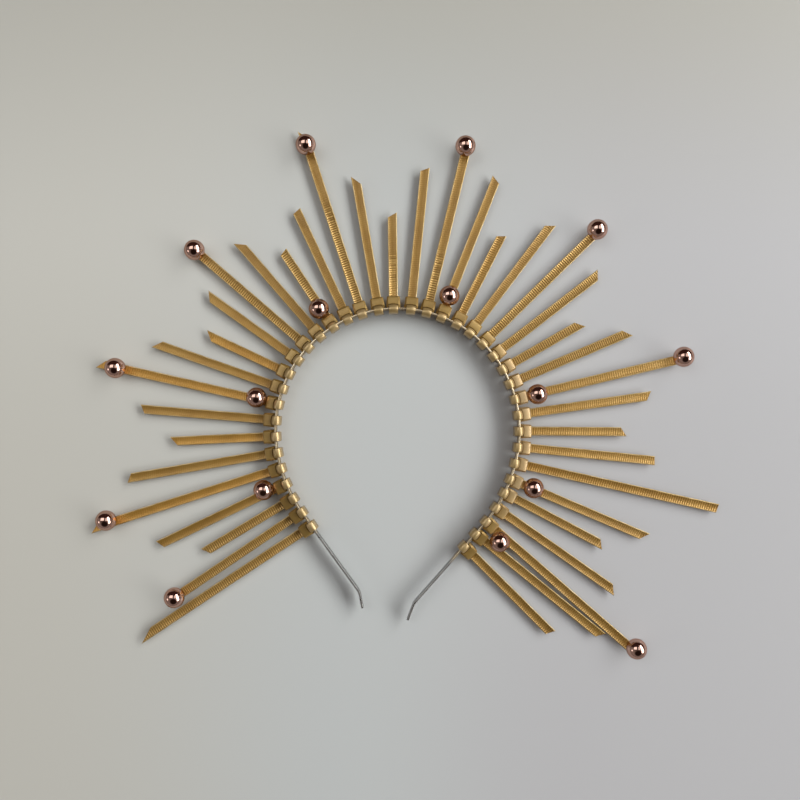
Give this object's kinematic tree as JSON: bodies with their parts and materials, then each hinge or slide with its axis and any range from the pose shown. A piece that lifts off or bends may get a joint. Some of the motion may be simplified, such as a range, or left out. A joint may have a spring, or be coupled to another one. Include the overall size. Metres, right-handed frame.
{
  "type": "spiked crown",
  "caption": "Halo crown: a thin horseshoe headband ringed with looped cable ties whose slant-cut tails fan out like rays, with round mirror beads on the front.",
  "frame": {"origin": "centre of the headband's top curve, in the plane of the backs of the heads that the crown lies on", "axes": "+X to the crown's right seen from the front, +Y up over the top of the head, +Z to the front; it lies on its back, so +Z points up off the table"},
  "size_m": [0.3299, 0.2755, 0.0143],
  "materials": {
    "band": "thin spring steel, sprayed satin gold along the middle, bare and bright at both ends",
    "ties": "plastic sprayed satin gold, uneven, paler on the heads",
    "beads": "mirror-coated rose gold"
  },
  "bodies": {
    "root": {"headband": "band", "tie_01": "ties", "tie_02": "ties", "tie_03": "ties", "tie_04": "ties", "tie_05": "ties", "tie_06": "ties", "tie_07": "ties", "tie_08": "ties", "tie_09": "ties", "tie_10": "ties", "tie_11": "ties", "tie_12": "ties", "tie_13": "ties", "tie_14": "ties", "tie_15": "ties", "tie_16": "ties", "tie_17": "ties", "tie_18": "ties", "tie_19": "ties", "tie_20": "ties", "tie_21": "ties", "tie_22": "ties", "tie_23": "ties", "tie_24": "ties", "tie_25": "ties", "tie_26": "ties", "tie_27": "ties", "tie_28": "ties", "tie_29": "ties", "tie_30": "ties", "tie_31": "ties", "tie_32": "ties", "tie_33": "ties", "tie_34": "ties", "tie_35": "ties", "tie_36": "ties", "tie_37": "ties", "tie_38": "ties", "tie_39": "ties", "tip_bead_1": "beads", "tip_bead_2": "beads", "tip_bead_3": "beads", "tip_bead_4": "beads", "tip_bead_5": "beads", "tip_bead_6": "beads", "tip_bead_7": "beads", "tip_bead_8": "beads", "tip_bead_9": "beads", "base_bead_1": "beads", "base_bead_2": "beads", "base_bead_3": "beads", "base_bead_4": "beads", "base_bead_5": "beads", "base_bead_6": "beads", "base_bead_7": "beads"}
  },
  "joints": []
}
